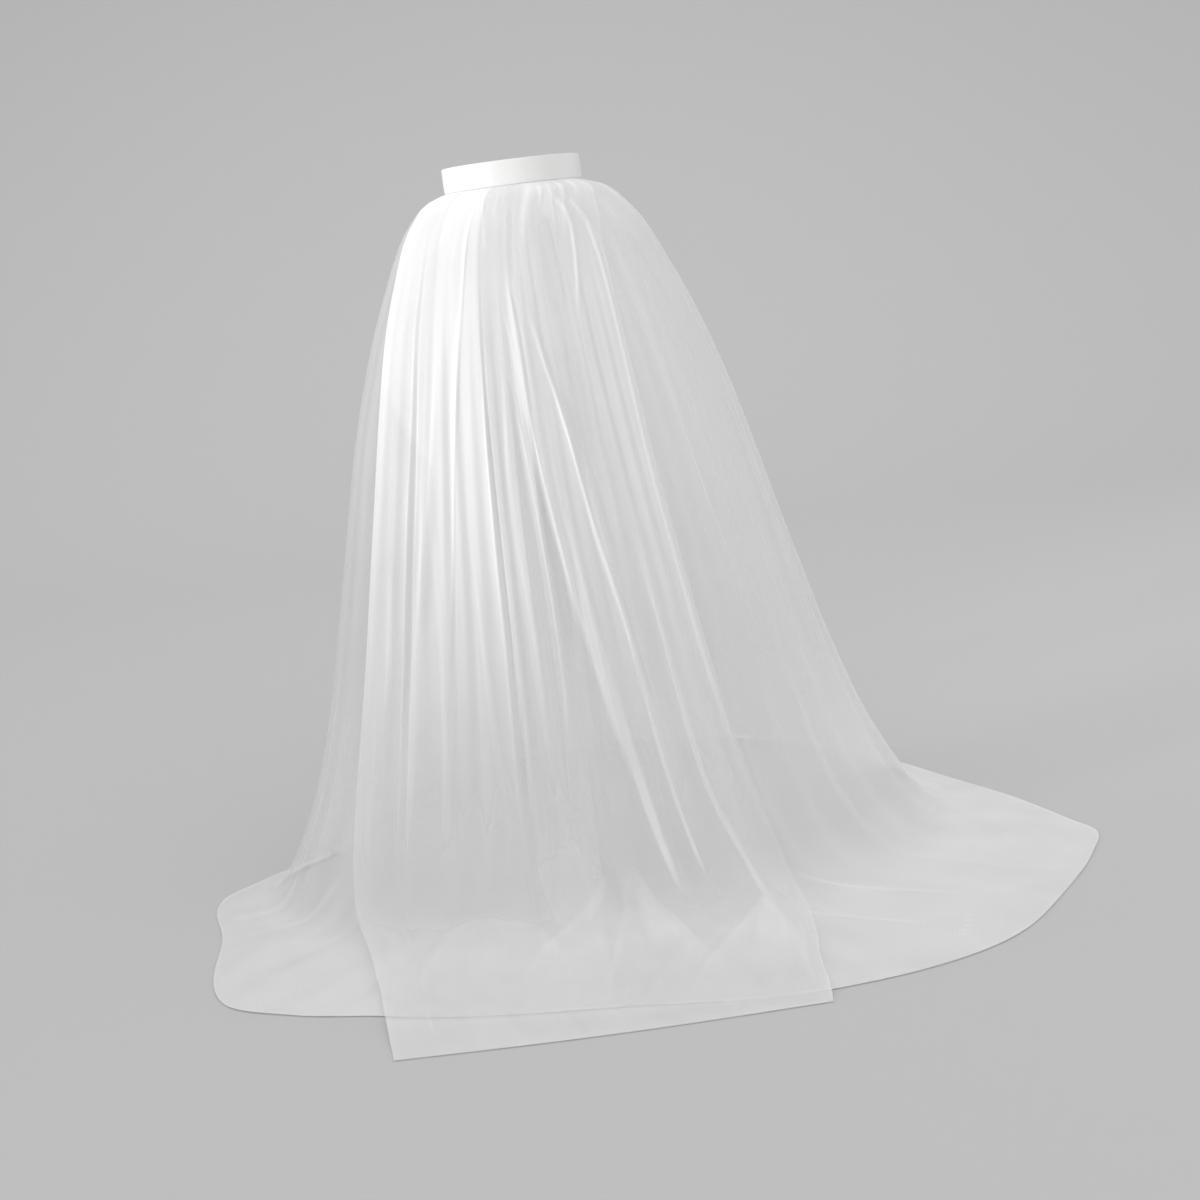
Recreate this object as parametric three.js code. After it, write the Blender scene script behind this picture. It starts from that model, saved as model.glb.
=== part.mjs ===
// A floor-length tulle skirt with a train, in the shape it takes when worn. Millimetres, +Z up.
// The origin is the middle of the waist ring. The train lies toward -Y, behind the wearer,
// and a turn of 0 degrees points that way, 90 degrees points to +X.
import * as THREE from "three";

const waistHeight = 1065;
const waistHalfWidth = 110;
const waistHalfDepth = 86;
const bandHeight = 38;
const bandWall = 3;
const bandEdgeRound = 0.8;
const bandSteps = 80;
const clothWall = 1.2;
const seamGap = 0.3;

const floorLevel = -waistHeight;
const bandFoot = -bandHeight / 2;
const clothTop = bandFoot - seamGap;
const footCentreBack = 120;
const overlayHemBack = 811;
const overlayHemBow = 8;
const meanSpread = 380;

// How the cloth falls: down from the waist, its share of the way from the waist's outline
// to the outline at the foot, and half the depth of the folds there.
const fall = [
  { down: -clothTop, swell: 0, fold: 0, overlayFold: 0 },
  { down: 33, swell: 0.085, fold: 1.8, overlayFold: 1.5 },
  { down: 55, swell: 0.142, fold: 3.2, overlayFold: 3 },
  { down: 90, swell: 0.206, fold: 4.6, overlayFold: 5 },
  { down: 145, swell: 0.272, fold: 6, overlayFold: 7 },
  { down: 230, swell: 0.357, fold: 8, overlayFold: 9 },
  { down: 350, swell: 0.452, fold: 10, overlayFold: 12 },
  { down: 490, swell: 0.545, fold: 12, overlayFold: 16 },
  { down: 640, swell: 0.639, fold: 14, overlayFold: 20 },
  { down: 790, swell: 0.735, fold: 16, overlayFold: 24 },
  { down: 910, swell: 0.825, fold: 17, overlayFold: 26 },
  { down: 1000, swell: 0.925, fold: 16, overlayFold: 26 },
  { down: 1040, swell: 1, fold: 13, overlayFold: 22 },
];

// How it then lies: its share of the way from the foot to the hem, its height over the floor,
// half the depth of the folds across it, and the height of the creases that stand up.
const lying = [
  { share: 0.06, rise: 9, fold: 8, overlayFold: 14, crease: 2, overlayCrease: 6 },
  { share: 0.16, rise: 0, fold: 3, overlayFold: 5, crease: 9, overlayCrease: 12 },
  { share: 0.42, rise: 0, fold: 0, overlayFold: 0, crease: 11, overlayCrease: 14 },
  { share: 0.72, rise: 0, fold: 0, overlayFold: 0, crease: 7, overlayCrease: 10 },
  { share: 1, rise: 0, fold: 0, overlayFold: 0, crease: 3, overlayCrease: 5 },
];

// The outline on the floor, from the foot's centre: where the fall reaches the floor, and the hem.
const spread = [
  { turn: -180, foot: 422, hem: 450 },
  { turn: -143, foot: 446, hem: 478 },
  { turn: -124, foot: 424, hem: 452 },
  { turn: -106, foot: 416, hem: 442 },
  { turn: -95, foot: 440, hem: 470 },
  { turn: -87, foot: 491, hem: 549 },
  { turn: -81, foot: 506, hem: 612 },
  { turn: -66, foot: 488, hem: 630 },
  { turn: -49, foot: 425, hem: 711 },
  { turn: -39, foot: 391, hem: 684 },
  { turn: -28, foot: 364, hem: 646 },
  { turn: 0, foot: 342, hem: 632 },
  { turn: 22, foot: 354, hem: 712 },
  { turn: 41, foot: 402, hem: 782 },
  { turn: 54, foot: 451, hem: 786 },
  { turn: 64, foot: 488, hem: 794 },
  { turn: 69.5, foot: 506, hem: 794 },
  { turn: 73, foot: 516, hem: 755 },
  { turn: 80, foot: 528, hem: 692 },
  { turn: 91, foot: 528, hem: 609 },
  { turn: 102, foot: 521, hem: 562 },
  { turn: 118, foot: 488, hem: 522 },
  { turn: 143, foot: 458, hem: 490 },
  { turn: 180, foot: 422, hem: 450 },
];

// The side edges of the upper panel, by how far down they are and then by share of the way out.
const overlayFallEdges = [
  { down: 19, left: -74, right: 64 },
  { down: 60, left: -71, right: 52 },
  { down: 130, left: -67, right: 43 },
  { down: 350, left: -61, right: 37.5 },
  { down: 640, left: -59, right: 38 },
  { down: 910, left: -58, right: 39.5 },
  { down: 1040, left: -55, right: 41 },
];
const overlayLyingEdges = [
  { share: 0, left: -54, right: 40 },
  { share: 0.42, left: -40, right: 31.5 },
  { share: 0.72, left: -33, right: 25.5 },
  { share: 1, left: -28, right: 22 },
];
const overlayHemEdge = { left: -22.3, right: 20.9 };

const gores = [
  { name: "front_left_gore", from: -180, to: -97, folds: 10 },
  { name: "back_left_gore", from: -97, to: 0, folds: 13 },
  { name: "back_right_gore", from: 0, to: 103, folds: 13 },
  { name: "front_right_gore", from: 103, to: 180, folds: 10 },
];
const overlayFolds = 19;
const overlayLean = { pivot: 0.35, atWaist: -0.9, atFoot: 1 };

// How unevenly the cloth is gathered: each wave's size, and how fast it changes from fold to fold.
const unevenWidth = [{ size: 0.28, rate: 2.3 }, { size: 0.16, rate: 5.1 }];
const unevenDepth = [{ size: 0.28, rate: 3.7 }];
const meanDepth = 0.72;

// One fold: where its columns stand across its width, and how far out each one lies.
const foldShape = [
  { across: 0, out: 0 },
  { across: 0.34, out: 1 },
  { across: 0.68, out: -0.9 },
];

const satin = new THREE.MeshStandardMaterial({ color: 0xf6f6f4, roughness: 0.38, metalness: 0 });
const tulle = new THREE.MeshStandardMaterial({ color: 0xf1f3f5, roughness: 0.85, metalness: 0 });

function radians(degrees) {
  return (degrees * Math.PI) / 180;
}

// A smooth value between the rows of a table, by one column of it.
function smoothBetween(rows, key, column, at) {
  const last = rows.length - 1;
  let i = 0;
  while (i < last - 1 && at > rows[i + 1][key]) i += 1;
  const slope = (k) => {
    const before = rows[Math.max(k - 1, 0)];
    const after = rows[Math.min(k + 1, last)];
    return (after[column] - before[column]) / (after[key] - before[key]);
  };
  const start = rows[i];
  const end = rows[i + 1];
  const span = end[key] - start[key];
  const s = Math.min(Math.max((at - start[key]) / span, 0), 1);
  const rise = end[column] - start[column];
  const bend = s * (1 - s);
  const lead = slope(i) * span - rise;
  const trail = rise - slope(i + 1) * span;
  return start[column] + rise * s + bend * (lead * (1 - s) + trail * s);
}

// The distance from the axis to the waist's outline, an ellipse.
function waistReach(turn) {
  const sine = Math.sin(radians(turn));
  const cosine = Math.cos(radians(turn));
  return 1 / Math.hypot(sine / waistHalfWidth, cosine / waistHalfDepth);
}

function pointAt(turn, reach, back, height) {
  const x = reach * Math.sin(radians(turn));
  const y = -back - reach * Math.cos(radians(turn));
  return new THREE.Vector3(x, y, height);
}

// A point of the fall, moved out from the cloth's middle line by a distance.
function fallPoint(turn, row, out) {
  const waist = waistReach(turn) - bandWall + seamGap + clothWall;
  const foot = smoothBetween(spread, "turn", "foot", turn);
  const reach = waist + (foot - waist) * row.swell;
  return pointAt(turn, reach + out, footCentreBack * row.swell, -row.down);
}

// How much further out a layer stands where the fall flares, for the same distance square to it.
function flareOfFall(i) {
  if (i === 0) return 1;
  const growth = (fall[i].swell - fall[i - 1].swell) / (fall[i].down - fall[i - 1].down);
  return Math.hypot(1, growth * meanSpread);
}

// A point of the part that lies on the floor, moved out and up.
function lyingPoint(turn, row, out, up) {
  const foot = smoothBetween(spread, "turn", "foot", turn);
  const hem = smoothBetween(spread, "turn", "hem", turn);
  const reach = foot + (hem - foot) * row.share;
  return pointAt(turn, reach + out, footCentreBack, floorLevel + clothWall + row.rise + up);
}

function uneven(mean, waves, i, start) {
  return waves.reduce((sum, wave) => sum + wave.size * Math.sin(wave.rate * i + start), mean);
}

// Columns across a width of cloth, gathered into uneven folds, each with its place and its depth.
function foldColumns(folds, start) {
  const widths = Array.from({ length: folds }, (_, i) => uneven(1, unevenWidth, i, start));
  const whole = widths.reduce((sum, width) => sum + width, 0);
  const columns = [];
  let reached = 0;
  widths.forEach((width, i) => {
    const depth = uneven(meanDepth, unevenDepth, i, start);
    foldShape.forEach((step) => {
      columns.push({ at: (reached + step.across * width) / whole, out: step.out * depth });
    });
    reached += width;
  });
  columns.push({ at: 1, out: 0 });
  return columns;
}

function goreGrid(gore) {
  const columns = foldColumns(gore.folds, radians(gore.from));
  const turnOf = (column) => gore.from + (gore.to - gore.from) * column.at;
  const falling = fall.map((row) => columns.map((column) =>
    fallPoint(turnOf(column), row, row.fold * column.out)));
  const resting = lying.map((row) => columns.map((column) =>
    lyingPoint(turnOf(column), row, row.fold * column.out, row.crease * Math.max(column.out, 0))));
  return [...falling, ...resting];
}

// The upper panel's folds lean away from a line in its left part on the way down.
function leaned(at, lean) {
  return at + lean * at * (1 - at) * (at - overlayLean.pivot);
}

// The upper panel lies on the crests of the gores below it, and its own folds stand out from there.
function overlayGrid() {
  const columns = foldColumns(overlayFolds, overlayLean.pivot);
  const standing = (column) => (1 + column.out) / 2;
  const turnOf = (column, edges, lean) =>
    edges.left + (edges.right - edges.left) * leaned(column.at, lean);
  const edgesAt = (rows, key, at) => ({
    left: smoothBetween(rows, key, "left", at),
    right: smoothBetween(rows, key, "right", at),
  });
  const over = seamGap + clothWall;
  const falling = fall.map((row, i) => {
    const edges = edgesAt(overlayFallEdges, "down", row.down);
    const lean = overlayLean.atWaist + (overlayLean.atFoot - overlayLean.atWaist) * row.swell;
    const clearance = over * flareOfFall(i);
    return columns.map((column) => {
      const out = row.fold + clearance + row.overlayFold * standing(column);
      return fallPoint(turnOf(column, edges, lean), row, out);
    });
  });
  const resting = lying.map((row) => {
    const edges = edgesAt(overlayLyingEdges, "share", row.share);
    return columns.map((column) => {
      const up = row.crease + over + row.overlayCrease * standing(column);
      const out = row.fold + over + row.overlayFold * standing(column);
      return lyingPoint(turnOf(column, edges, overlayLean.atFoot), row, out, up);
    });
  });
  const hem = columns.map((column) => {
    const turn = turnOf(column, overlayHemEdge, overlayLean.atFoot);
    const bow = overlayHemBow * Math.sin(Math.PI * column.at);
    const reach = (overlayHemBack + bow - footCentreBack) / Math.cos(radians(turn));
    return pointAt(turn, reach, footCentreBack, floorLevel + clothWall);
  });
  return [...falling, ...resting, hem];
}

function sidewaysIn(from, toward) {
  return toward.clone().sub(from).setLength(seamGap / 2);
}

// Both side edges of a piece draw in by half the seam's gap.
function drawInSides(grid) {
  grid.forEach((row) => {
    const last = row.length - 1;
    const firstMove = sidewaysIn(row[0], row[1]);
    const lastMove = sidewaysIn(row[last], row[last - 1]);
    row[0].add(firstMove);
    row[last].add(lastMove);
  });
}

// The cloth's inner side, one wall's thickness in, and never below the floor.
function innerSide(grid) {
  const clampIndex = (index, length) => Math.min(Math.max(index, 0), length - 1);
  return grid.map((row, i) => row.map((point, j) => {
    const above = grid[clampIndex(i - 1, grid.length)][j];
    const below = grid[clampIndex(i + 1, grid.length)][j];
    const before = row[clampIndex(j - 1, row.length)];
    const after = row[clampIndex(j + 1, row.length)];
    const normal = below.clone().sub(above).cross(after.clone().sub(before));
    if (i === 0) normal.z = 0;
    if (i === grid.length - 1) normal.set(0, 0, 1);
    const inner = point.clone().sub(normal.setLength(clothWall));
    inner.z = Math.max(inner.z, floorLevel);
    return inner;
  }));
}

function closedWall(outer, inner) {
  const rows = outer.length;
  const columns = outer[0].length;
  const positions = [...outer.flat(), ...inner.flat()].flatMap((point) => point.toArray());
  const shift = rows * columns;
  const index = [];
  const quad = (a, b, c, d) => index.push(a, b, c, a, c, d);
  const at = (i, j) => i * columns + j;
  for (let i = 0; i < rows - 1; i += 1) {
    for (let j = 0; j < columns - 1; j += 1) {
      quad(at(i, j), at(i + 1, j), at(i + 1, j + 1), at(i, j + 1));
      quad(at(i, j) + shift, at(i, j + 1) + shift, at(i + 1, j + 1) + shift, at(i + 1, j) + shift);
    }
    const right = columns - 1;
    quad(at(i, 0), at(i, 0) + shift, at(i + 1, 0) + shift, at(i + 1, 0));
    quad(at(i, right), at(i + 1, right), at(i + 1, right) + shift, at(i, right) + shift);
  }
  const foot = rows - 1;
  for (let j = 0; j < columns - 1; j += 1) {
    quad(at(0, j), at(0, j + 1), at(0, j + 1) + shift, at(0, j) + shift);
    quad(at(foot, j), at(foot, j) + shift, at(foot, j + 1) + shift, at(foot, j + 1));
  }
  const geometry = new THREE.BufferGeometry();
  geometry.setAttribute("position", new THREE.Float32BufferAttribute(positions, 3));
  geometry.setIndex(index);
  geometry.computeVertexNormals();
  return geometry;
}

function clothPiece(name, grid) {
  drawInSides(grid);
  const mesh = new THREE.Mesh(closedWall(grid, innerSide(grid)), tulle);
  mesh.name = name;
  return mesh;
}

// The band is a ring: its section goes round the edges, and the section goes round the waist.
function bandPiece() {
  const half = bandHeight / 2;
  const section = [
    { out: 0, height: half - bandEdgeRound },
    { out: -bandEdgeRound, height: half },
    { out: bandEdgeRound - bandWall, height: half },
    { out: -bandWall, height: half - bandEdgeRound },
    { out: -bandWall, height: -half },
    { out: 0, height: -half },
  ];
  const positions = [];
  for (let step = 0; step < bandSteps; step += 1) {
    const turn = (step * 360) / bandSteps;
    section.forEach((corner) => {
      const point = pointAt(turn, waistReach(turn) + corner.out, 0, corner.height);
      positions.push(...point.toArray());
    });
  }
  const corners = section.length;
  const index = [];
  for (let step = 0; step < bandSteps; step += 1) {
    const next = (step + 1) % bandSteps;
    for (let k = 0; k < corners; k += 1) {
      const after = (k + 1) % corners;
      const a = step * corners + k;
      const b = next * corners + k;
      const c = next * corners + after;
      const d = step * corners + after;
      index.push(a, b, c, a, c, d);
    }
  }
  const geometry = new THREE.BufferGeometry();
  geometry.setAttribute("position", new THREE.Float32BufferAttribute(positions, 3));
  geometry.setIndex(index);
  geometry.computeVertexNormals();
  const mesh = new THREE.Mesh(geometry, satin);
  mesh.name = "waistband";
  return mesh;
}

const skirt = new THREE.Group();
skirt.add(bandPiece());
gores.forEach((gore) => skirt.add(clothPiece(gore.name, goreGrid(gore))));
skirt.add(clothPiece("train_overlay", overlayGrid()));

export default skirt;
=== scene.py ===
import math

import bpy
import bmesh
import numpy as np
from mathutils import Matrix, Vector


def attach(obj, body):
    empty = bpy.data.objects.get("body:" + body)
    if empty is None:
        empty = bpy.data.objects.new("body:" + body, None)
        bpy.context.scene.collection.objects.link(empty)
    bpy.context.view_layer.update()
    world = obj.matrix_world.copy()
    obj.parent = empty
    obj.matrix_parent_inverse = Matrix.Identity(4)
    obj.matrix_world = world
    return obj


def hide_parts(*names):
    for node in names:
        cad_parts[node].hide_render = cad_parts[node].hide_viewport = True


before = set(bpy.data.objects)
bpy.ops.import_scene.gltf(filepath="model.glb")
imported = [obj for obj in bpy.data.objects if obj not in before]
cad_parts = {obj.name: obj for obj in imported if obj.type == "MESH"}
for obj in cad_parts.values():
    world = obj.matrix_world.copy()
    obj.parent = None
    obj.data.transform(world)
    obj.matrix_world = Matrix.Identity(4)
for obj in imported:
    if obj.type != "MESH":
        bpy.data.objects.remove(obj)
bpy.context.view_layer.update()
print("frame loaded")

# camera: behind the wearer, a little under the waist, held with a slight tilt
cameraSetup = {
    "distance": 2.6,
    "underBand": 0.115,
    "pitchDown": 12.78,
    "turnRight": 1.23,
    "tilt": 7.1,
    "lens": 47.5,
}


def addCamera(setup):
    pitch, yaw, tilt = (math.radians(setup[key]) for key in ("pitchDown", "turnRight", "tilt"))
    forward = Vector((math.sin(yaw) * math.cos(pitch), math.cos(yaw) * math.cos(pitch), -math.sin(pitch)))
    level = Vector((math.cos(yaw), -math.sin(yaw), 0))
    upright = level.cross(forward)
    right = level * math.cos(tilt) - upright * math.sin(tilt)
    up = upright * math.cos(tilt) + level * math.sin(tilt)
    data = bpy.data.cameras.new("photoCamera")
    data.lens = setup["lens"]
    camera = bpy.data.objects.new("photoCamera", data)
    bpy.context.scene.collection.objects.link(camera)
    camera.rotation_euler = Matrix((right, up, -forward)).transposed().to_euler()
    camera.location = (0, -setup["distance"], -setup["underBand"])
    bpy.context.scene.camera = camera


addCamera(cameraSetup)
print("camera placed")

# how the cloth falls: metres under the middle of the band, its share of the way out to the foot,
# half the depth of its main folds, and how far the upper panel's folds stand off
skirtForm = {
    "waistHalfWidth": 0.110,
    "waistHalfDepth": 0.086,
    "underBandReach": 0.0015,  # how far inside the band's outline the gores' top edge lies
    "floor": -1.065,
    "wall": 0.0012,
    "footCentreBack": 0.120,
    "fall": [
        {"down": 0.0193, "swell": 0, "fold": 0, "overFold": 0},
        {"down": 0.033, "swell": 0.085, "fold": 0.0018, "overFold": 0.0015},
        {"down": 0.055, "swell": 0.142, "fold": 0.0032, "overFold": 0.003},
        {"down": 0.090, "swell": 0.206, "fold": 0.0046, "overFold": 0.005},
        {"down": 0.145, "swell": 0.272, "fold": 0.006, "overFold": 0.007},
        {"down": 0.230, "swell": 0.357, "fold": 0.008, "overFold": 0.009},
        {"down": 0.350, "swell": 0.452, "fold": 0.010, "overFold": 0.012},
        {"down": 0.490, "swell": 0.545, "fold": 0.012, "overFold": 0.016},
        {"down": 0.640, "swell": 0.639, "fold": 0.014, "overFold": 0.020},
        {"down": 0.790, "swell": 0.735, "fold": 0.016, "overFold": 0.024},
        {"down": 0.910, "swell": 0.825, "fold": 0.017, "overFold": 0.026},
        {"down": 1.000, "swell": 0.925, "fold": 0.016, "overFold": 0.026},
        {"down": 1.040, "swell": 1, "fold": 0.013, "overFold": 0.022},
    ],
    # how it lies: share of the way from foot to hem, height, folds, and creases standing up
    "lying": [
        {"share": 0, "rise": 0.0238, "fold": 0.013, "overFold": 0.022, "crease": 0, "overCrease": 0},
        {"share": 0.06, "rise": 0.009, "fold": 0.008, "overFold": 0.014, "crease": 0.002, "overCrease": 0.006},
        {"share": 0.16, "rise": 0, "fold": 0.003, "overFold": 0.005, "crease": 0.009, "overCrease": 0.012},
        {"share": 0.42, "rise": 0, "fold": 0, "overFold": 0, "crease": 0.011, "overCrease": 0.014},
        {"share": 0.72, "rise": 0, "fold": 0, "overFold": 0, "crease": 0.007, "overCrease": 0.010},
        {"share": 1, "rise": 0, "fold": 0, "overFold": 0, "crease": 0.003, "overCrease": 0.005},
    ],
    # outline on the floor round the foot's centre, turn 0 is straight back, 90 to the right
    "spread": [
        {"turn": -180, "foot": 0.422, "hem": 0.450},
        {"turn": -143, "foot": 0.446, "hem": 0.478},
        {"turn": -124, "foot": 0.424, "hem": 0.452},
        {"turn": -106, "foot": 0.416, "hem": 0.442},
        {"turn": -95, "foot": 0.440, "hem": 0.470},
        {"turn": -87, "foot": 0.491, "hem": 0.549},
        {"turn": -81, "foot": 0.506, "hem": 0.612},
        {"turn": -66, "foot": 0.488, "hem": 0.630},
        {"turn": -49, "foot": 0.425, "hem": 0.711},
        {"turn": -39, "foot": 0.391, "hem": 0.684},
        {"turn": -28, "foot": 0.364, "hem": 0.646},
        {"turn": 0, "foot": 0.342, "hem": 0.632},
        {"turn": 22, "foot": 0.354, "hem": 0.712},
        {"turn": 41, "foot": 0.402, "hem": 0.782},
        {"turn": 54, "foot": 0.451, "hem": 0.786},
        {"turn": 64, "foot": 0.488, "hem": 0.794},
        {"turn": 69.5, "foot": 0.506, "hem": 0.794},
        {"turn": 73, "foot": 0.516, "hem": 0.755},
        {"turn": 80, "foot": 0.528, "hem": 0.692},
        {"turn": 91, "foot": 0.528, "hem": 0.609},
        {"turn": 102, "foot": 0.521, "hem": 0.562},
        {"turn": 118, "foot": 0.488, "hem": 0.522},
        {"turn": 143, "foot": 0.458, "hem": 0.490},
        {"turn": 180, "foot": 0.422, "hem": 0.450},
    ],
}


def smoothBetween(rows, key, column, at):
    # a smooth value between the rows of a table, for an array of places
    places = np.array([row[key] for row in rows], float)
    values = np.array([row[column] for row in rows], float)
    slopes = np.gradient(values, places)
    inner = (values[2:] - values[:-2]) / (places[2:] - places[:-2])
    slopes[1:-1] = inner
    at = np.asarray(at, float)
    i = np.clip(np.searchsorted(places, at, side="right") - 1, 0, len(places) - 2)
    span = places[i + 1] - places[i]
    s = np.clip((at - places[i]) / span, 0, 1)
    rise = values[i + 1] - values[i]
    lead = slopes[i] * span - rise
    trail = rise - slopes[i + 1] * span
    return values[i] + rise * s + s * (1 - s) * (lead * (1 - s) + trail * s)


def waistReach(turn):
    angle = np.radians(turn)
    across = np.sin(angle) / skirtForm["waistHalfWidth"]
    along = np.cos(angle) / skirtForm["waistHalfDepth"]
    return 1 / np.hypot(across, along)


# rows of every sheet: close together under the band and at the floor
rowPlan = {"fallRows": 96, "fallEase": 1.3, "lyingRows": 44}


def clothRows(plan):
    tableTop = skirtForm["fall"][0]["down"]
    tableFoot = skirtForm["fall"][-1]["down"]
    along = np.linspace(0, 1, plan["fallRows"]) ** plan["fallEase"]
    down = tableTop + (tableFoot - tableTop) * along
    share = np.linspace(0, 1, plan["lyingRows"] + 1)[1:]
    rows = {"down": down, "share": share}
    for name in ("swell", "fold", "overFold"):
        rows[name] = smoothBetween(skirtForm["fall"], "down", name, down)
    for name in ("rise", "fold", "overFold", "crease", "overCrease"):
        rows["lying_" + name] = np.maximum(smoothBetween(skirtForm["lying"], "share", name, share), 0)
    return rows


def column(values):
    return np.asarray(values)[:, None]


def skirtPoints(turn, out, up, rows):
    # turn, out and up are arrays of rows by columns, in degrees and metres
    fallCount = len(rows["down"])
    form = skirtForm
    foot = smoothBetween(form["spread"], "turn", "foot", turn)
    hemReach = smoothBetween(form["spread"], "turn", "hem", turn)
    waist = waistReach(turn) - form["underBandReach"]
    reach = np.empty_like(turn)
    height = np.empty_like(turn)
    back = np.empty_like(turn)
    swell = column(rows["swell"])
    reach[:fallCount] = waist[:fallCount] + (foot[:fallCount] - waist[:fallCount]) * swell
    height[:fallCount] = -column(rows["down"])
    back[:fallCount] = form["footCentreBack"] * swell
    share = column(rows["share"])
    reach[fallCount:] = foot[fallCount:] + (hemReach[fallCount:] - foot[fallCount:]) * share
    height[fallCount:] = form["floor"] + form["wall"] + column(rows["lying_rise"])
    back[fallCount:] = form["footCentreBack"]
    reach = reach + out
    angle = np.radians(turn)
    points = np.stack([reach * np.sin(angle), -back - reach * np.cos(angle), height + up], -1)
    return points


def eased(x):
    x = np.clip(x, 0, 1)
    return x * x * (3 - 2 * x)


def footSmoothed(points, fallCount, times, spread):
    # softens the bend where the fall meets the floor, over so many rows on each side of it
    span = slice(fallCount - spread - 2, fallCount + spread)
    for _ in range(times):
        middle = points[span]
        middle[1:-1] = middle[1:-1] * 0.5 + (middle[:-2] + middle[2:]) * 0.25
        points[span] = middle
    return points


def uneven(mean, waves, i, start):
    return mean + sum(size * math.sin(rate * i + start) for size, rate in waves)


# main folds, gathered unevenly: wave sizes and how fast they change from fold to fold
gatherRhythm = {
    "width": [(0.28, 2.3), (0.16, 5.1)],
    "depth": [(0.28, 3.7)],
    "meanDepth": 0.72,
    "shape": [(0, 0), (0.34, 1), (0.68, -0.9)],
}


def foldProfile(folds, start, at):
    # how far out the cloth lies across its width, from -1 in a trough to 1 on a crest
    widths = [uneven(1, gatherRhythm["width"], i, start) for i in range(folds)]
    whole = sum(widths)
    rows = []
    reached = 0
    for i, width in enumerate(widths):
        depth = uneven(gatherRhythm["meanDepth"], gatherRhythm["depth"], i, start)
        for across, out in gatherRhythm["shape"]:
            rows.append({"at": (reached + across * width) / whole, "out": out * depth})
        reached += width
    rows.append({"at": 1, "out": 0})
    return smoothBetween(rows, "at", "out", at)


def softNoise(rng, shape, cells):
    # smooth random field over a grid, made of a few coarse cells
    coarse = rng.standard_normal((cells[0] + 3, cells[1] + 3))
    y = np.linspace(0, cells[0], shape[0])
    x = np.linspace(0, cells[1], shape[1])

    def weights(t):
        i = np.minimum(t.astype(int), int(t[-1]))
        f = t - i
        w = np.stack([(1 - f) ** 3, 3 * f**3 - 6 * f**2 + 4, -3 * f**3 + 3 * f**2 + 3 * f + 1, f**3], -1) / 6
        return i, w

    yi, yw = weights(y)
    xi, xw = weights(x)
    field = np.zeros(shape)
    for a in range(4):
        for b in range(4):
            rowPick = np.minimum(yi + a, coarse.shape[0] - 1)
            columnPick = np.minimum(xi + b, coarse.shape[1] - 1)
            field += yw[:, a][:, None] * xw[:, b][None, :] * coarse[np.ix_(rowPick, columnPick)]
    return field


# the edge of a fold's doubled cloth, in widths of the fold
streakEdge = {"place": 1.05, "softness": 0.18}


def addStreak(cloth, streak):
    # one soft fold: raised, drawn together, and more layers deep
    path = cloth["path"]
    begin = streak["places"][0]["path"]
    finish = streak["places"][-1]["path"]
    live = (path > begin) & (path < finish)
    if not live.any():
        return
    along = path[live]
    fade = eased((along - begin) / streak["fadeIn"]) * eased((finish - along) / streak["fadeOut"])
    at = smoothBetween(streak["places"], "path", "at", along)
    left = cloth["left"][live]
    right = cloth["right"][live]
    centre = column(left + (right - left) * at)
    distance = np.radians(cloth["turn"][live] - centre) * column(cloth["reach"][live])
    stops = np.linspace(begin, finish, len(streak["width"]))
    scaled = distance / column(np.interp(along, stops, streak["width"]))
    near = np.exp(-0.5 * scaled**2) * column(fade)
    cloth["out"][live] += streak["height"] * near * (0.7 - 0.45 * np.tanh(1.6 * scaled * streak["facing"]))
    cloth["side"][live] -= streak["crowd"] * distance * near
    past = (np.abs(scaled) - streakEdge["place"]) / streakEdge["softness"]
    doubled = 1 / (1 + np.exp(np.clip(past, -30, 30)))
    cloth["layers"][live] += streak["layers"] * doubled * column(fade)


def addGathers(rng, cloth, settings):
    # gathers that start near the band, wander, and die out on the way down
    for _ in range(settings["count"]):
        at = rng.uniform(*settings["across"])
        begin = rng.uniform(*settings["begin"])
        length = rng.uniform(*settings["length"])
        drift = rng.normal(0, settings["drift"])
        bend = rng.normal(0, settings["drift"] * 0.4)
        size = rng.uniform(0.35, 1.25)
        addStreak(cloth, {
            "places": [{"path": begin, "at": at}, {"path": begin + length / 2, "at": at + drift / 2 + bend},
                       {"path": begin + length, "at": at + drift}],
            "fadeIn": length * 0.3,
            "fadeOut": length * 0.5,
            "width": np.array([0.7, 1.1]) * settings["width"] * rng.uniform(0.6, 1.6),
            "height": settings["height"] * size,
            "crowd": settings["crowd"],
            "layers": settings["layers"] * size,
            "facing": rng.choice([-1, 1]),
        })


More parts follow.
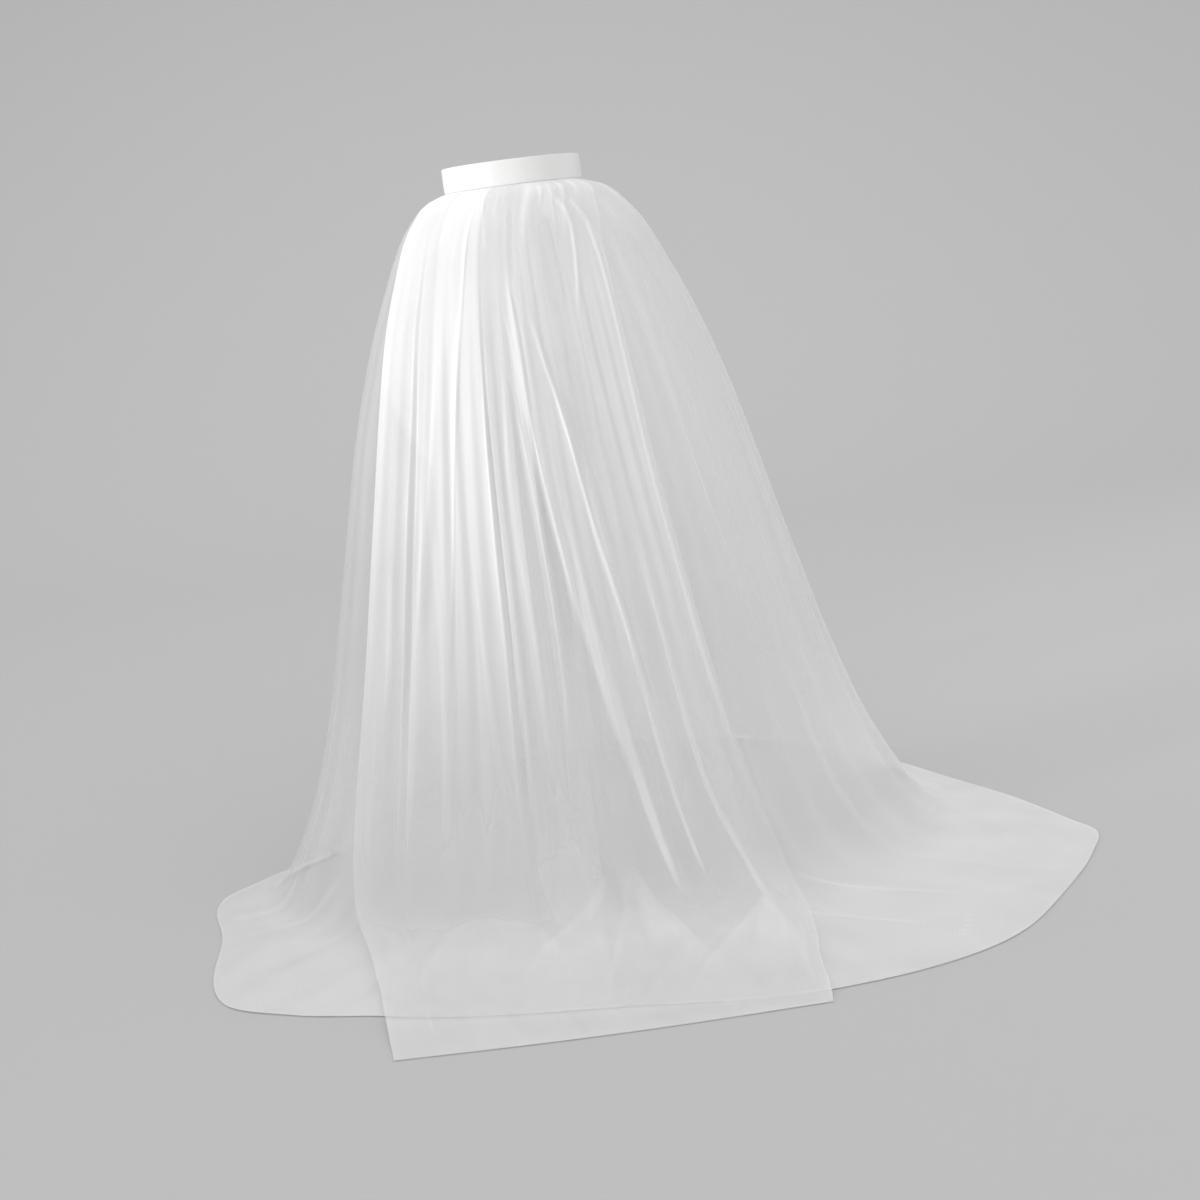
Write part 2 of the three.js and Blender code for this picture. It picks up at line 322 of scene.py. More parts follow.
def meshFromGrid(name, points, uv, density):
    rows, columns = points.shape[:2]
    mesh = bpy.data.meshes.new(name)
    index = np.arange(rows * columns).reshape(rows, columns)
    quads = np.stack([index[:-1, :-1], index[1:, :-1], index[1:, 1:], index[:-1, 1:]], -1).reshape(-1, 4)
    mesh.vertices.add(rows * columns)
    mesh.vertices.foreach_set("co", points.reshape(-1).astype(np.float32))
    mesh.loops.add(quads.size)
    mesh.loops.foreach_set("vertex_index", quads.reshape(-1).astype(np.int32))
    mesh.polygons.add(len(quads))
    mesh.polygons.foreach_set("loop_start", np.arange(0, quads.size, 4, dtype=np.int32))
    mesh.polygons.foreach_set("loop_total", np.full(len(quads), 4, np.int32))
    mesh.polygons.foreach_set("use_smooth", np.ones(len(quads), bool))
    layer = mesh.uv_layers.new(name="clothUv")
    layer.data.foreach_set("uv", uv.reshape(-1, 2)[quads.reshape(-1)].reshape(-1).astype(np.float32))
    attribute = mesh.attributes.new("clothDensity", "FLOAT", "POINT")
    attribute.data.foreach_set("value", density.reshape(-1).astype(np.float32))
    mesh.update(calc_edges=True)
    piece = bpy.data.objects.new(name, mesh)
    bpy.context.scene.collection.objects.link(piece)
    return piece


def clothUv(points, cutWidth):
    # places on the flat cloth, in metres: across the cut and down from the band
    rows, columns = points.shape[:2]
    steps = np.linalg.norm(np.diff(points, axis=0), axis=2).mean(1)
    down = np.concatenate([[0], np.cumsum(steps)])
    across = np.linspace(0, cutWidth, columns)
    return np.stack(np.broadcast_arrays(across[None, :], -down[:, None]), -1)


def sheetArea(points):
    a, b, c, d = points[:-1, :-1], points[1:, :-1], points[1:, 1:], points[:-1, 1:]
    first = np.linalg.norm(np.cross(b - a, c - a), axis=2)
    second = np.linalg.norm(np.cross(c - a, d - a), axis=2)
    return float((first + second).sum() / 2)


lyingLength = 0.29  # metres of cloth from foot to hem, as the tables below count it


def newCloth(rows, turn, left, right, farReach):
    fallCount = len(rows["down"])
    path = np.concatenate([rows["down"], rows["down"][-1] + lyingLength * rows["share"]])
    reach = 0.1 + farReach * np.concatenate([rows["swell"], 1 + 0.65 * rows["share"]])
    onFloor = np.concatenate([np.zeros(fallCount), eased(rows["share"] / 0.16)])
    cloth = {"path": path, "turn": turn, "left": left, "right": right, "reach": reach, "onFloor": onFloor}
    for name in ("out", "side", "layers"):
        cloth[name] = np.zeros(turn.shape)
    return cloth


# the four gores of the skirt, each gathered into the band
gores = {
    "columns": 380,
    "gathers": [
        {"across": (0.01, 0.99), "count": 20, "begin": (0.0, 0.02), "length": (0.05, 0.16),
         "drift": 0.01, "width": 0.009, "height": 0.0010, "crowd": 0.2, "layers": 0.4},
        {"across": (0.01, 0.99), "count": 16, "begin": (0.0, 0.5), "length": (0.4, 1.3),
         "drift": 0.04, "width": 0.022, "height": 0.0022, "crowd": 0.14, "layers": 0.10},
    ],
    "panels": [
        {"name": "frontLeftGore", "node": "front_left_gore", "from": -180, "to": -97, "folds": 10,
         "fullness": (0.52, 0.05), "foot": -0.2, "train": 0.3, "lift": 0.3,
         "flat": (0.70, 1.15), "area": 0.60, "seed": 11},
        {"name": "backLeftGore", "node": "back_left_gore", "from": -97, "to": 0, "folds": 13,
         "fullness": (0.06, 0.78), "foot": 3.6, "train": 2.1, "lift": 1,
         "flat": (1.17, 1.42), "area": 0.95, "seed": 12},
        {"name": "backRightGore", "node": "back_right_gore", "from": 0, "to": 103, "folds": 13,
         "fullness": (0.8, 0.60), "foot": 1.8, "train": 2.5, "lift": 1,
         "flat": (1.37, 1.50), "area": 1.12, "seed": 13},
        {"name": "frontRightGore", "node": "front_right_gore", "from": 103, "to": 180, "folds": 10,
         "fullness": (0.30, 0.52), "foot": -0.2, "train": 0.3, "lift": 0.3,
         "flat": (0.70, 1.15), "area": 0.60, "seed": 14},
    ],
    "cutWidth": 1.45,
    "farReach": 0.36,
    "foldShare": (0.20, 0.10),
    "sway": 0.004,
    "footSmoothing": 45,
    "footRows": 20,
}


# soft folds seen on single gores, placed as on the upper panel
goreStreaks = {
    "backRightGore": [
        {"width": (0.004, 0.004), "height": 0.002, "crowd": 0.2, "layers": 0.9, "facing": 1,
         "fadeIn": 0.05, "fadeOut": 0.08,
         "places": [{"path": 1.046, "at": 0.383}, {"path": 1.12, "at": 0.435}, {"path": 1.25, "at": 0.485}]},
        {"width": (0.004, 0.005), "height": 0.002, "crowd": 0.2, "layers": 0.8, "facing": 1,
         "fadeIn": 0.05, "fadeOut": 0.06,
         "places": [{"path": 1.10, "at": 0.285}, {"path": 1.188, "at": 0.354}, {"path": 1.26, "at": 0.398}]},
        {"width": (0.004, 0.003), "height": 0.002, "crowd": 0.2, "layers": 0.9, "facing": -1,
         "fadeIn": 0.01, "fadeOut": 0.01,
         "places": [{"path": 1.258, "at": 0.438}, {"path": 1.28, "at": 0.400}, {"path": 1.298, "at": 0.375}]},
        {"width": (0.006, 0.008), "height": 0.003, "crowd": 0.2, "layers": 0.35, "facing": 1,
         "fadeIn": 0.25, "fadeOut": 0.25,
         "places": [{"path": 0.12, "at": 0.455}, {"path": 0.44, "at": 0.493}, {"path": 0.60, "at": 0.520},
                    {"path": 0.84, "at": 0.513}]},
        {"width": (0.020, 0.030), "height": 0.004, "crowd": 0.1, "layers": 0.25, "facing": -1,
         "fadeIn": 0.25, "fadeOut": 0.25,
         "places": [{"path": 0.10, "at": 0.62}, {"path": 0.60, "at": 0.66}, {"path": 1.10, "at": 0.70}]},
    ],
    "backLeftGore": [
        {"width": (0.005, 0.006), "height": 0.002, "crowd": 0.2, "layers": 0.5, "facing": 1,
         "fadeIn": 0.05, "fadeOut": 0.08,
         "places": [{"path": 1.00, "at": 0.380}, {"path": 1.12, "at": 0.345}, {"path": 1.29, "at": 0.330}]},
        {"width": (0.010, 0.012), "height": 0.003, "crowd": 0.2, "layers": 0.4, "facing": -1,
         "fadeIn": 0.05, "fadeOut": 0.08,
         "places": [{"path": 1.02, "at": 0.240}, {"path": 1.15, "at": 0.260}, {"path": 1.30, "at": 0.250}]},
    ],
}


def softMin(a, b, soft):
    return (a + b - np.sqrt((a - b) ** 2 + soft ** 2)) / 2


def softMax(a, b, soft):
    return (a + b + np.sqrt((a - b) ** 2 + soft ** 2)) / 2


def makeGore(panel):
    rows = clothRows(rowPlan)
    fallCount = len(rows["down"])
    count = fallCount + len(rows["share"])
    at = np.linspace(0, 1, gores["columns"])
    turn = np.repeat((panel["from"] + (panel["to"] - panel["from"]) * at)[None, :], count, 0)
    left = np.full(count, float(panel["from"]))
    right = np.full(count, float(panel["to"]))
    cloth = newCloth(rows, turn, left, right, gores["farReach"])
    rng = np.random.default_rng(panel["seed"])
    for gathers in gores["gathers"]:
        addGathers(rng, cloth, gathers)
    for streak in goreStreaks.get(panel["name"], []):
        addStreak(cloth, streak)
    profile = foldProfile(panel["folds"], math.radians(panel["from"]), at)[None, :]
    share, shareChange = gores["foldShare"]
    profile = profile * (share + shareChange * softNoise(rng, turn.shape, (4, 11)))
    broad = softNoise(rng, turn.shape, (7, 9))
    foldDepth = np.concatenate([rows["fold"], rows["lying_fold"]])
    crease = np.concatenate([np.zeros(fallCount), rows["lying_crease"]])
    onFloor = column(cloth["onFloor"])
    start = column(eased((cloth["path"] - cloth["path"][0]) / 0.008))
    fine = cloth["out"] + gores["sway"] * broad * column(eased(cloth["path"] / 0.4))
    out = (column(foldDepth) * profile + fine) * (1 - onFloor) * start
    out = softMin(out, column(foldDepth) * 1.02 + 0.0002, 0.0008)
    lift = column(crease) * softMax(profile * 0.8 + 0.35 * broad, 0, 0.15) + onFloor * cloth["out"] * 0.4
    lift = softMin(lift, column(crease) * 1.05 + 0.0004, 0.0008) * panel["lift"]
    seam = np.minimum(eased(at / 0.02), eased((1 - at) / 0.02))[None, :]
    turn = turn + np.degrees(cloth["side"] * seam / column(cloth["reach"]))
    points = skirtPoints(turn, out, lift, rows)
    points = footSmoothed(points, fallCount, gores["footSmoothing"], gores["footRows"])
    points[..., 2] = np.maximum(points[..., 2], skirtForm["floor"] + 0.0006)
    density = densityOf(points, 1) * np.linspace(*panel["fullness"], at.size)[None, :]
    toFoot = eased((cloth["path"] - 0.68) / 0.36)
    train = eased((cloth["path"] - rows["down"][-1] + 0.03) / 0.15)
    density = np.minimum(density, 2.2) * (1 + panel["foot"] * column(toFoot)) + cloth["layers"]
    density = np.maximum(density + panel["train"] * column(train), 0.05)
    density *= 1 + 0.06 * softNoise(rng, turn.shape, (5, 40)) + 0.07 * softNoise(rng, turn.shape, (30, 40))
    return points, density


def densityOf(points, fullness):
    # more thread in the same width where the cloth is gathered closer
    widths = np.linalg.norm(np.diff(points, axis=1), axis=2).sum(1)
    return (fullness / widths)[:, None] * np.ones(points.shape[:2])


# the upper panel: folds named by their places across it, from its left edge to its right
overlay = {
    "columns": 640,
    "folds": 19,
    "leanPivot": 0.35,
    "leanAtWaist": -0.9,
    "leanAtFoot": 1.0,
    "clear": 0.0015,
    "flare": 0.38,
    "hemBack": 0.811,
    "hemBow": 0.008,
    "hemRows": 12,
    "hemLayers": 0.95,
    "footClear": 0.004,
    "farReach": 0.30,
    "foldShare": (0.26, 0.2),
    "sway": 0.004,
    "footSmoothing": 70,
    "footRows": 26,
    "cutWidth": 1.5,
    "flat": (0.64, 1.56),
    "area": 0.94,
    "fallEdges": [
        {"down": 0.019, "left": -74, "right": 64},
        {"down": 0.060, "left": -71, "right": 52},
        {"down": 0.130, "left": -67, "right": 43},
        {"down": 0.350, "left": -61, "right": 37.5},
        {"down": 0.640, "left": -59, "right": 38},
        {"down": 0.910, "left": -58, "right": 39.5},
        {"down": 1.040, "left": -55, "right": 41},
    ],
    "lyingEdges": [
        {"share": 0, "left": -54, "right": 40},
        {"share": 0.42, "left": -40, "right": 31.5},
        {"share": 0.72, "left": -33, "right": 25.5},
        {"share": 1, "left": -28, "right": 22},
    ],
    "hemEdge": {"left": -22.3, "right": 20.9},
    "gathers": [
        {"across": (0.01, 0.99), "count": 26, "begin": (0.0, 0.015), "length": (0.05, 0.14),
         "drift": 0.01, "width": 0.0075, "height": 0.0010, "crowd": 0.22, "layers": 0.6},
        {"across": (0.01, 0.99), "count": 18, "begin": (0.0, 0.6), "length": (0.3, 1.1),
         "drift": 0.04, "width": 0.012, "height": 0.0012, "crowd": 0.15, "layers": 0.2},
        {"across": (0.06, 0.50), "count": 18, "begin": (0.0, 0.6), "length": (0.2, 0.8),
         "drift": 0.03, "width": 0.0035, "height": 0.0004, "crowd": 0.12, "layers": 0.6},
    ],
    "seed": 21,
}

# folds that show on the upper panel, each with its places across the panel on the way down
upperStreaks = {
    "strongest": {"width": (0.0060, 0.0125, 0.0140, 0.0080, 0.0042), "height": 0.004,
        "crowd": 0.25, "layers": 2.6, "facing": 1, "fadeIn": 0.20, "fadeOut": 0.08,
        "places": [{"path": 0.12, "at": 0.525}, {"path": 0.333, "at": 0.578}, {"path": 0.476, "at": 0.610},
                   {"path": 0.650, "at": 0.664}, {"path": 0.871, "at": 0.722}, {"path": 1.08, "at": 0.757}]},
    "strongRim": {"width": (0.0030, 0.0030), "height": 0.002, "crowd": 0.2, "layers": 1.3, "facing": 1,
        "fadeIn": 0.06, "fadeOut": 0.40,
        "places": [{"path": 0.15, "at": 0.530}, {"path": 0.246, "at": 0.560}, {"path": 0.333, "at": 0.566},
                   {"path": 0.476, "at": 0.596}, {"path": 0.697, "at": 0.658}, {"path": 1.00, "at": 0.735}]},
    "underStrong": {"width": (0.0050, 0.0060), "height": -0.001, "crowd": -0.2, "layers": -1.0, "facing": 1,
        "fadeIn": 0.08, "fadeOut": 0.10,
        "places": [{"path": 0.39, "at": 0.572}, {"path": 0.50, "at": 0.580}, {"path": 0.72, "at": 0.620}]},
    "besideIt": {"width": (0.0035, 0.0028), "height": 0.003, "crowd": 0.3, "layers": 2.2, "facing": -1,
        "fadeIn": 0.16, "fadeOut": 0.08,
        "places": [{"path": 0.18, "at": 0.600}, {"path": 0.384, "at": 0.700}, {"path": 0.543, "at": 0.740},
                   {"path": 0.691, "at": 0.780}, {"path": 0.866, "at": 0.800}, {"path": 1.07, "at": 0.824}]},
    "softBeside": {"width": (0.0105, 0.0150), "height": 0.003, "crowd": 0.24, "layers": 0.5, "facing": 1,
        "fadeIn": 0.16, "fadeOut": 0.20,
        "places": [{"path": 0.22, "at": 0.640}, {"path": 0.543, "at": 0.770}, {"path": 1.02, "at": 0.840}]},
    "toTheWedge": {"width": (0.0045, 0.0040), "height": 0.0025, "crowd": 0.25, "layers": 1.4, "facing": 1,
        "fadeIn": 0.14, "fadeOut": 0.05,
        "places": [{"path": 0.52, "at": 0.872}, {"path": 0.70, "at": 0.885}, {"path": 0.912, "at": 0.893},
                   {"path": 1.004, "at": 0.914}, {"path": 1.11, "at": 0.935}]},
    "besideSlit": {"width": (0.0035, 0.0035), "height": -0.001, "crowd": -0.2, "layers": -0.9, "facing": 1,
        "fadeIn": 0.06, "fadeOut": 0.10,
        "places": [{"path": 0.60, "at": 0.785}, {"path": 0.717, "at": 0.806}, {"path": 0.82, "at": 0.826}]},
    "rightEdge": {"width": (0.0032, 0.0036), "height": 0.003, "crowd": 0.25, "layers": 1.4, "facing": -1,
        "fadeIn": 0.05, "fadeOut": 0.35,
        "places": [{"path": 0.03, "at": 0.800}, {"path": 0.066, "at": 0.894}, {"path": 0.092, "at": 0.940},
                   {"path": 0.15, "at": 0.972}, {"path": 0.35, "at": 0.982}, {"path": 1.00, "at": 0.985}]},
    "rightBand": {"width": (0.0080, 0.0170, 0.0130), "height": 0.003, "crowd": 0.2, "layers": 0.7,
        "facing": -1,
        "fadeIn": 0.10, "fadeOut": 0.30,
        "places": [{"path": 0.06, "at": 0.900}, {"path": 0.13, "at": 0.930}, {"path": 0.35, "at": 0.945},
                   {"path": 0.80, "at": 0.950}]},
    "waistCurve": {"width": (0.0030, 0.0035), "height": 0.002, "crowd": 0.25, "layers": 1.6, "facing": -1,
        "fadeIn": 0.03, "fadeOut": 0.10,
        "places": [{"path": 0.025, "at": 0.719}, {"path": 0.045, "at": 0.785}, {"path": 0.075, "at": 0.845},
                   {"path": 0.13, "at": 0.862}, {"path": 0.24, "at": 0.815}]},
    "firstPuff": {"width": (0.0045, 0.0030), "height": 0.002, "crowd": 0.2, "layers": 1.4, "facing": -1,
        "fadeIn": 0.008, "fadeOut": 0.03,
        "places": [{"path": 0.0195, "at": 0.700}, {"path": 0.060, "at": 0.700}]},
    "secondPuff": {"width": (0.0035, 0.0025), "height": 0.002, "crowd": 0.2, "layers": 1.2, "facing": -1,
        "fadeIn": 0.008, "fadeOut": 0.02,
        "places": [{"path": 0.0195, "at": 0.820}, {"path": 0.045, "at": 0.835}]},
    "thirdPuff": {"width": (0.0035, 0.0025), "height": 0.002, "crowd": 0.2, "layers": 1.2, "facing": -1,
        "fadeIn": 0.008, "fadeOut": 0.02,
        "places": [{"path": 0.0195, "at": 0.890}, {"path": 0.045, "at": 0.910}]},
    "litEdge": {"width": (0.0070, 0.0100), "height": 0.004, "crowd": 0.24, "layers": 0.8, "facing": -1,
        "fadeIn": 0.2, "fadeOut": 0.2,
        "places": [{"path": 0.20, "at": 0.210}, {"path": 0.389, "at": 0.190}, {"path": 0.599, "at": 0.157},
                   {"path": 0.855, "at": 0.126}, {"path": 1.03, "at": 0.11}]},
    "litMiddle": {"width": (0.0042, 0.0060), "height": 0.003, "crowd": 0.24, "layers": 0.8, "facing": 1,
        "fadeIn": 0.08, "fadeOut": 0.25,
        "places": [{"path": 0.04, "at": 0.350}, {"path": 0.461, "at": 0.270}, {"path": 1.03, "at": 0.200}]},
    "waistLine": {"width": (0.0025, 0.0025), "height": 0.001, "crowd": 0.2, "layers": 1.0, "facing": 1,
        "fadeIn": 0.01, "fadeOut": 0.04,
        "places": [{"path": 0.0195, "at": 0.370}, {"path": 0.045, "at": 0.395}, {"path": 0.12, "at": 0.430}]},
    "firstSlit": {"width": (0.0035, 0.0035), "height": -0.001, "crowd": -0.2, "layers": -0.9, "facing": 1,
        "fadeIn": 0.03, "fadeOut": 0.06,
        "places": [{"path": 0.045, "at": 0.534}, {"path": 0.10, "at": 0.545}, {"path": 0.18, "at": 0.548}]},
    "overTheSlit": {"width": (0.0040, 0.0030), "height": 0.002, "crowd": 0.25, "layers": 1.0, "facing": 1,
        "fadeIn": 0.10, "fadeOut": 0.20,
        "places": [{"path": 0.25, "at": 0.500}, {"path": 0.328, "at": 0.520}, {"path": 0.50, "at": 0.556},
                   {"path": 0.681, "at": 0.570}, {"path": 0.88, "at": 0.543}]},
    "slit": {"width": (0.0042, 0.0060), "height": -0.0015, "crowd": -0.24, "layers": -0.8, "facing": 1,
        "fadeIn": 0.10, "fadeOut": 0.20,
        "places": [{"path": 0.26, "at": 0.480}, {"path": 0.476, "at": 0.580}, {"path": 0.80, "at": 0.600}]},
    "middlePanel": {"width": (0.0119, 0.0170), "height": 0.003, "crowd": 0.18, "layers": 0.7, "facing": 1,
        "fadeIn": 0.15, "fadeOut": 0.20,
        "places": [{"path": 0.40, "at": 0.500}, {"path": 0.70, "at": 0.510}, {"path": 0.95, "at": 0.515}]},
    "lowSlit": {"width": (0.0035, 0.0050), "height": -0.001, "crowd": -0.2, "layers": -0.6, "facing": 1,
        "fadeIn": 0.10, "fadeOut": 0.12,
        "places": [{"path": 0.70, "at": 0.440}, {"path": 0.85, "at": 0.420}, {"path": 0.95, "at": 0.41}]},
    "darkOval": {"width": (0.0119, 0.0170), "height": -0.0015, "crowd": -0.12, "layers": -1.0, "facing": 1,
        "fadeIn": 0.05, "fadeOut": 0.12,
        "places": [{"path": 0.045, "at": 0.710}, {"path": 0.092, "at": 0.740}, {"path": 0.16, "at": 0.745},
                   {"path": 0.26, "at": 0.735}]},
    "darkBeside": {"width": (0.0105, 0.0150), "height": -0.0015, "crowd": -0.12, "layers": -0.7, "facing": 1,
        "fadeIn": 0.12, "fadeOut": 0.16,
        "places": [{"path": 0.20, "at": 0.770}, {"path": 0.343, "at": 0.785}, {"path": 0.52, "at": 0.800}]},
    "darkLow": {"width": (0.0182, 0.0260), "height": -0.0015, "crowd": -0.12, "layers": -0.4, "facing": 1,
        "fadeIn": 0.15, "fadeOut": 0.30,
        "places": [{"path": 0.55, "at": 0.630}, {"path": 0.80, "at": 0.655}, {"path": 1.02, "at": 0.640}]},
    "farLeft": {"width": (0.0042, 0.0060), "height": 0.002, "crowd": 0.18, "layers": 0.5, "facing": -1,
        "fadeIn": 0.1, "fadeOut": 0.2,
        "places": [{"path": 0.05, "at": 0.035}, {"path": 0.5, "at": 0.028}, {"path": 1.10, "at": 0.03}]},
}

# broad doubled cloth of the upper panel: its left half, and the wedges where its folds open out on the floor
broadFolds = {
    "litFold": {"layers": 0.6, "height": 0, "end": 1.00, "fade": 0.30, "edge": 0.05,
        "sides": [
            {"path": 0.015, "left": 0.00, "right": 0.385}, {"path": 0.28, "left": 0.00, "right": 0.385},
            {"path": 0.358, "left": 0.106, "right": 0.390}, {"path": 0.41, "left": 0.190, "right": 0.40},
            {"path": 0.58, "left": 0.193, "right": 0.42}, {"path": 0.73, "left": 0.138, "right": 0.43},
            {"path": 0.87, "left": 0.111, "right": 0.44}]},
    "litCore": {"layers": 1.4, "height": 0, "end": 0.85, "fade": 0.40, "edge": 0.024,
        "sides": [
            {"path": 0.015, "left": 0.20, "right": 0.385}, {"path": 0.30, "left": 0.20, "right": 0.385},
            {"path": 0.50, "left": 0.20, "right": 0.41}, {"path": 0.75, "left": 0.16, "right": 0.43}]},
    "rightWedge": {"layers": 0.55, "height": 0.002, "end": 1.36, "fade": 0.20, "edge": 0.018,
        "sides": [
            {"path": 1.090, "left": 0.930, "right": 0.930}, {"path": 1.167, "left": 0.843, "right": 0.946},
            {"path": 1.233, "left": 0.778, "right": 0.968}, {"path": 1.360, "left": 0.690, "right": 0.990}]},
    "rightCore": {"layers": 0.5, "height": 0.001, "end": 1.29, "fade": 0.12, "edge": 0.030,
        "sides": [
            {"path": 1.100, "left": 0.925, "right": 0.930}, {"path": 1.180, "left": 0.880, "right": 0.945},
            {"path": 1.290, "left": 0.860, "right": 0.950}]},
    "middleWedge": {"layers": 0.5, "height": 0.002, "end": 1.32, "fade": 0.20, "edge": 0.018,
        "sides": [
            {"path": 1.012, "left": 0.654, "right": 0.658}, {"path": 1.035, "left": 0.621, "right": 0.672},
            {"path": 1.101, "left": 0.598, "right": 0.715}, {"path": 1.218, "left": 0.560, "right": 0.769},
            {"path": 1.320, "left": 0.530, "right": 0.800}]},
    "middleCore": {"layers": 0.5, "height": 0.001, "end": 1.25, "fade": 0.12, "edge": 0.030,
        "sides": [
            {"path": 1.050, "left": 0.655, "right": 0.668}, {"path": 1.130, "left": 0.650, "right": 0.712},
            {"path": 1.250, "left": 0.660, "right": 0.755}]},
    "smallWedge": {"layers": 0.4, "height": 0.001, "end": 1.28, "fade": 0.14, "edge": 0.022,
        "sides": [
            {"path": 1.034, "left": 0.575, "right": 0.590}, {"path": 1.076, "left": 0.501, "right": 0.600},
            {"path": 1.152, "left": 0.407, "right": 0.590}, {"path": 1.280, "left": 0.330, "right": 0.560}]},
    "leftArch": {"layers": 0.36, "height": 0.001, "end": 1.32, "fade": 0.16, "edge": 0.035,
        "sides": [
            {"path": 1.072, "left": 0.255, "right": 0.300}, {"path": 1.082, "left": 0.215, "right": 0.390},
            {"path": 1.110, "left": 0.175, "right": 0.415}, {"path": 1.140, "left": 0.165, "right": 0.428},
            {"path": 1.188, "left": 0.129, "right": 0.450}, {"path": 1.320, "left": 0.060, "right": 0.480}]},
    "diamond": {"layers": 0.4, "height": 0.001, "end": 1.13, "fade": 0.06, "edge": 0.020,
        "sides": [
            {"path": 0.950, "left": 0.525, "right": 0.525}, {"path": 0.994, "left": 0.415, "right": 0.563},
            {"path": 1.035, "left": 0.425, "right": 0.592}, {"path": 1.127, "left": 0.470, "right": 0.482}]},
    "rightFade": {"layers": -0.55, "height": 0, "end": 1.34, "fade": 0.05, "edge": 0.05,
        "sides": [
            {"path": 0.780, "left": 0.990, "right": 1.20}, {"path": 0.900, "left": 0.955, "right": 1.20},
            {"path": 1.050, "left": 0.950, "right": 1.20}, {"path": 1.120, "left": 0.970, "right": 1.20},
            {"path": 1.340, "left": 1.000, "right": 1.20}]},
}


def addBroadFold(cloth, fold, at):
    # softly edged, more layers deep and raised evenly between its two sides
    path = cloth["path"]
    live = (path > fold["sides"][0]["path"]) & (path < fold["end"])
    stops = [side["path"] for side in fold["sides"]]
    left = column(np.interp(path[live], stops, [side["left"] for side in fold["sides"]]))
    right = column(np.interp(path[live], stops, [side["right"] for side in fold["sides"]]))
    fade = column(eased((fold["end"] - path[live]) / fold["fade"]))
    edge = fold["edge"]
    inside = eased((at[None, :] - left) / edge + 0.5) * eased((right - at[None, :]) / edge + 0.5) * fade
    cloth["layers"][live] += fold["layers"] * inside
    cloth["out"][live] += fold["height"] * inside


def leaned(at, lean):
    return at + lean * at * (1 - at) * (at - overlay["leanPivot"])


